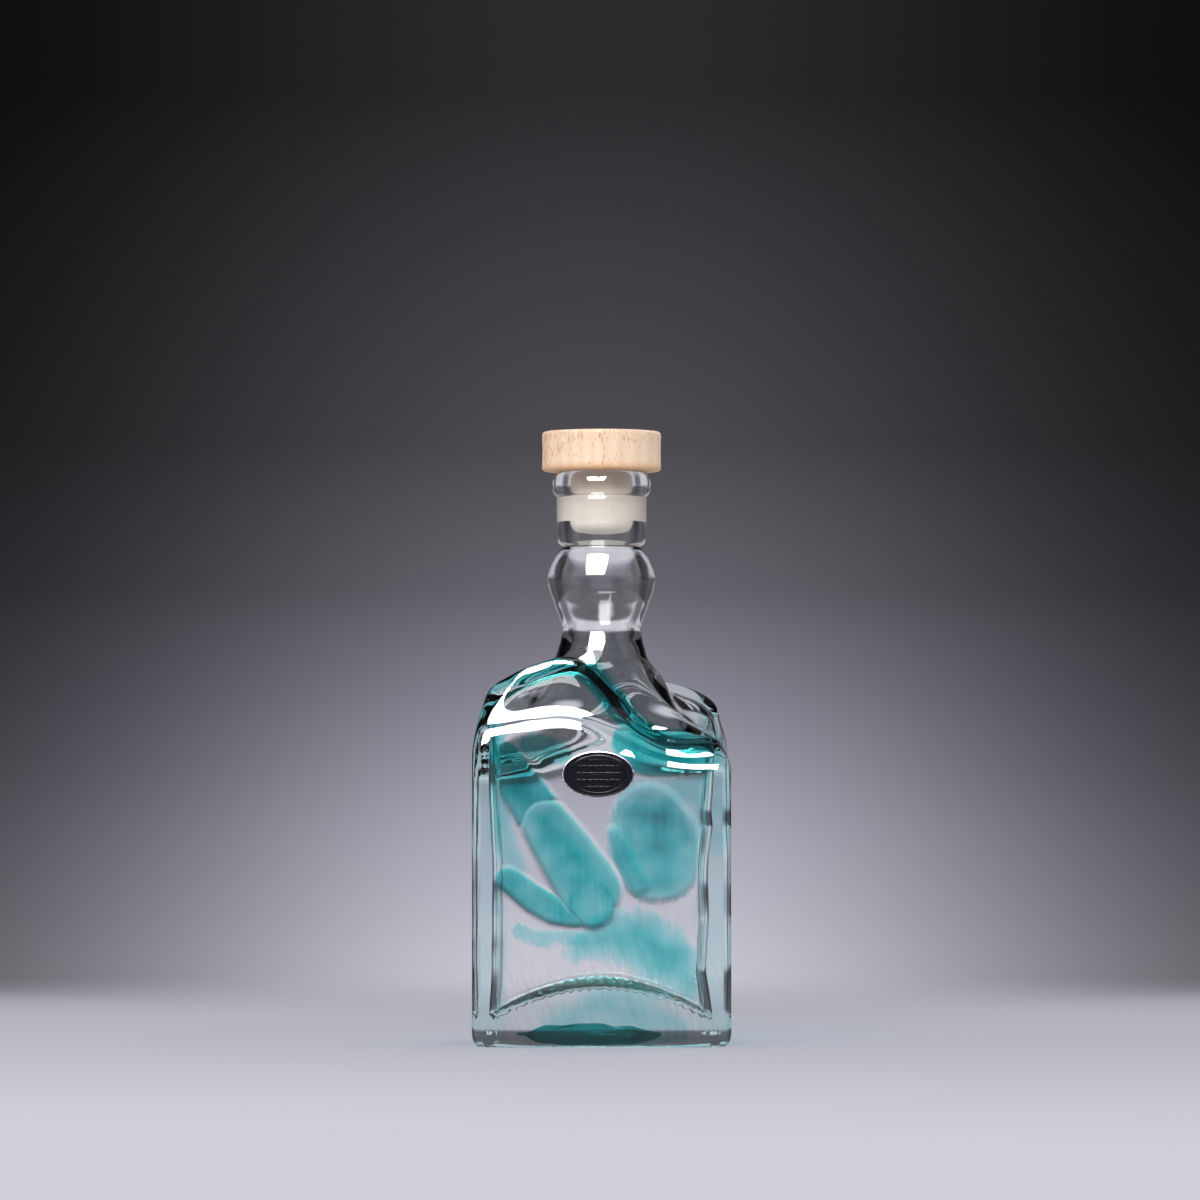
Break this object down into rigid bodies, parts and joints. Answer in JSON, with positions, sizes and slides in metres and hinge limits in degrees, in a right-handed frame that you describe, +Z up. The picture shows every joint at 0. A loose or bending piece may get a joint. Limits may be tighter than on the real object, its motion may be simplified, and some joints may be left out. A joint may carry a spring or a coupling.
{
  "type": "corked glass bottle",
  "caption": "Hand-blown aqua glass bottle with a waved shoulder and knopped neck, closed by a wooden-headed stopper that lifts out.",
  "frame": {"origin": "centre of the standing face, on the surface that the bottle stands on", "axes": "+Z up along the neck, -Y towards the front face with the sticker, +X to the right seen from the front"},
  "size_m": [0.0968, 0.0686, 0.231],
  "materials": {
    "aqua_glass": "clear blown glass with teal swirls, fire polished",
    "dark_foil": "dark printed foil with a bare silver rim",
    "turned_beech": "fine sanded, clear matt sealed",
    "foam_cork": "fine foamed, matt"
  },
  "bodies": {
    "bottle": {"glass_bottle": "aqua_glass", "label_sticker": "dark_foil"},
    "stopper": {"stopper_head": "turned_beech", "stopper_shank": "foam_cork"}
  },
  "joints": [
    {"name": "stopper_lift", "type": "slide", "parent": "bottle", "child": "stopper", "axis": [0, 0, 1], "range_m": [0, 0.045]}
  ]
}
